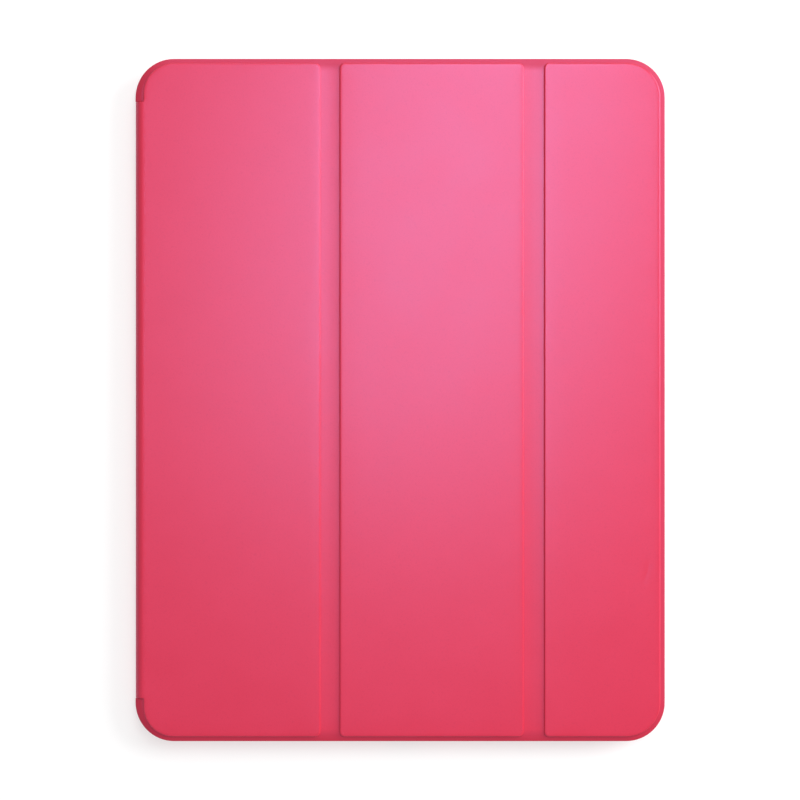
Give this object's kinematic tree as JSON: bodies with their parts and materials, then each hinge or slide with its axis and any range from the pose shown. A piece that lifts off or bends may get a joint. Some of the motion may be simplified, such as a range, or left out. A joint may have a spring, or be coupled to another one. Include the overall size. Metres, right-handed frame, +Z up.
{
  "type": "tablet folio case",
  "caption": "Folio case for a large tablet: snap-in tray, wrapped spine and a folding three-panel cover that forms a stand.",
  "frame": {"origin": "middle of the closed case's outline, on the surface that its back lies on", "axes": "+X from the spine to the closing edge, +Y towards the top of the tablet, +Z up through the closed cover"},
  "size_m": [0.222, 0.286, 0.011],
  "materials": {
    "cover_skin": "satin smooth coated leather, bright pink",
    "cover_lining": "brushed microfibre, soft pink",
    "board": "pressed fibre board, sealed inside",
    "tray": "satin moulded soft plastic, pink",
    "magnet": "nickel-plated magnet"
  },
  "bodies": {
    "back_shell": {"tray_shell": "tray", "back_skin": "cover_skin", "spine_edge_bottom_skin": "cover_skin", "spine_edge_bottom_lining": "cover_lining"},
    "spine": {"spine_skin": "cover_skin", "spine_board": "board", "spine_lining": "cover_lining", "spine_edge_top_skin": "cover_skin", "spine_edge_top_lining": "cover_lining"},
    "panel_1": {"panel_1_skin": "cover_skin", "panel_1_board": "board", "panel_1_lining": "cover_lining", "stand_magnets": "magnet"},
    "fold_strip_1": {"fold_strip_1_skin": "cover_skin", "fold_strip_1_lining": "cover_lining"},
    "panel_2": {"panel_2_skin": "cover_skin", "panel_2_board": "board", "panel_2_lining": "cover_lining"},
    "fold_strip_2": {"fold_strip_2_skin": "cover_skin", "fold_strip_2_lining": "cover_lining"},
    "panel_3": {"panel_3_skin": "cover_skin", "panel_3_board": "board", "panel_3_lining": "cover_lining", "closure_magnets": "magnet", "wake_magnet": "magnet"},
    "power_button": {"power_button_cover": "tray"},
    "volume_up": {"volume_up_cover": "tray"},
    "volume_down": {"volume_down_cover": "tray"}
  },
  "joints": [
    {"name": "spine_hinge", "type": "hinge", "parent": "back_shell", "child": "spine", "pos_m": [-0.1096, 0, 0.0015], "axis": [0, -1, 0], "range_deg": [0, 179], "deforming": ["spine_edge_bottom_skin", "spine_edge_bottom_lining"]},
    {"name": "cover_hinge", "type": "hinge", "parent": "spine", "child": "panel_1", "pos_m": [-0.1096, 0, 0.0095], "axis": [0, -1, 0], "range_deg": [0, 179], "deforming": ["spine_edge_top_skin", "spine_edge_top_lining"]},
    {"name": "outward_fold_1", "type": "hinge", "parent": "panel_1", "child": "fold_strip_1", "pos_m": [-0.0309, 0, 0.0101], "axis": [0, 1, 0], "range_deg": [-135, 0]},
    {"name": "stand_fold_1", "type": "hinge", "parent": "fold_strip_1", "child": "panel_2", "pos_m": [-0.0267, 0, 0.0091], "axis": [0, 1, 0], "range_deg": [0, 142]},
    {"name": "outward_fold_2", "type": "hinge", "parent": "panel_2", "child": "fold_strip_2", "pos_m": [0.0543, 0, 0.0101], "axis": [0, 1, 0], "range_deg": [-150, 0]},
    {"name": "stand_fold_2", "type": "hinge", "parent": "fold_strip_2", "child": "panel_3", "pos_m": [0.059, 0, 0.0091], "axis": [0, 1, 0], "range_deg": [0, 127]},
    {"name": "power_button_press", "type": "slide", "parent": "back_shell", "child": "power_button", "axis": [0, -1, 0], "range_m": [0, 0.0004], "stiffness_N_per_m": 600},
    {"name": "volume_up_press", "type": "slide", "parent": "back_shell", "child": "volume_up", "axis": [-1, 0, 0], "range_m": [0, 0.0004], "stiffness_N_per_m": 600},
    {"name": "volume_down_press", "type": "slide", "parent": "back_shell", "child": "volume_down", "axis": [-1, 0, 0], "range_m": [0, 0.0004], "stiffness_N_per_m": 600}
  ],
  "couplings": [
    {"joint": "stand_fold_1", "follows": "spine_hinge", "ratio": 0.793},
    {"joint": "stand_fold_2", "follows": "spine_hinge", "ratio": 0.709}
  ]
}
